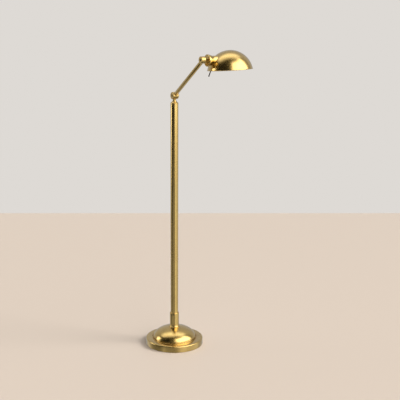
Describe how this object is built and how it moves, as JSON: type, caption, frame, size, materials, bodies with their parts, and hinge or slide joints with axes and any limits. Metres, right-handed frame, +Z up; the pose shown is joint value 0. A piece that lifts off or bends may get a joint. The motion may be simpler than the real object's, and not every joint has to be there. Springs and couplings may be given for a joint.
{
  "type": "adjustable arm floor lamp",
  "caption": "Brass floor lamp with a round weighted base, straight pole, hinged swivelling arm and a turning half-dome shade.",
  "frame": {"origin": "centre of the underside of the base, on the surface that it stands on", "axes": "+Z up the pole, +X the way the arm leans, +Y from the arm to the shade, along the hinge axes"},
  "size_m": [0.4595, 0.3462, 1.3061],
  "materials": {
    "polished_brass": "lightly aged polished brass",
    "satin_brass": "satin brushed brass",
    "dark_brass": "darkened brass",
    "zinc_steel": "zinc plated",
    "socket_brass": "plain pressed brass",
    "cast_iron": "black, as cast",
    "felt": "black felt",
    "black_plastic": "matt black",
    "bulb_glass": "frosted",
    "bulb_cap": "plain"
  },
  "bodies": {
    "stand": {"base_plinth": "polished_brass", "dome_bead": "polished_brass", "base_dome": "polished_brass", "floor_pad": "felt", "bottom_plate": "zinc_steel", "base_weight": "cast_iron", "plate_screws": "zinc_steel", "cord_gland": "black_plastic", "tie_rod": "zinc_steel", "tie_nut": "zinc_steel", "tie_washer": "zinc_steel", "collar_ring": "polished_brass", "pole_collar": "satin_brass", "collar_set_screw": "dark_brass", "pole_tube": "satin_brass", "pole_plug": "socket_brass", "pole_nut": "zinc_steel", "pole_lead": "black_plastic", "pole_cap": "polished_brass"},
    "neck": {"neck_knuckle": "polished_brass", "neck_pivot_screw": "dark_brass", "swivel_washer": "zinc_steel", "swivel_nut": "zinc_steel"},
    "arm": {"arm_knuckle": "polished_brass", "arm_tube": "satin_brass", "arm_lead": "black_plastic", "arm_top_knuckle": "polished_brass", "head_pivot_screw": "dark_brass"},
    "head": {"head_knuckle": "polished_brass", "head_nipple": "zinc_steel", "socket_cup": "polished_brass", "socket_shell": "socket_brass", "nipple_nut": "zinc_steel", "socket_insulator": "black_plastic", "screw_shell": "socket_brass", "centre_contact": "socket_brass", "fixing_ring": "socket_brass", "bulb_cap": "bulb_cap", "bulb_glass": "bulb_glass", "shade_dome": "polished_brass", "switch_housing": "black_plastic", "switch_pin": "dark_brass"},
    "switch": {"switch_lever": "dark_brass", "lever_tip": "dark_brass"}
  },
  "joints": [
    {"name": "neck_swivel", "type": "hinge", "parent": "stand", "child": "neck", "pos_m": [0, 0, 1.08], "axis": [0, 0, 1], "range_deg": [-170, 170]},
    {"name": "arm_hinge", "type": "hinge", "parent": "neck", "child": "arm", "pos_m": [0, 0, 1.11], "axis": [0, 1, 0], "range_deg": [-86, 64]},
    {"name": "head_turn", "type": "hinge", "parent": "arm", "child": "head", "pos_m": [0.23708, 0, 1.26871], "axis": [0, 1, 0], "range_deg": [-90, 90]},
    {"name": "switch_tilt", "type": "hinge", "parent": "head", "child": "switch", "pos_m": [0.22901, 0.0495, 1.24547], "axis": [0.9992, 0, 0.0401], "range_deg": [0, 25]}
  ]
}
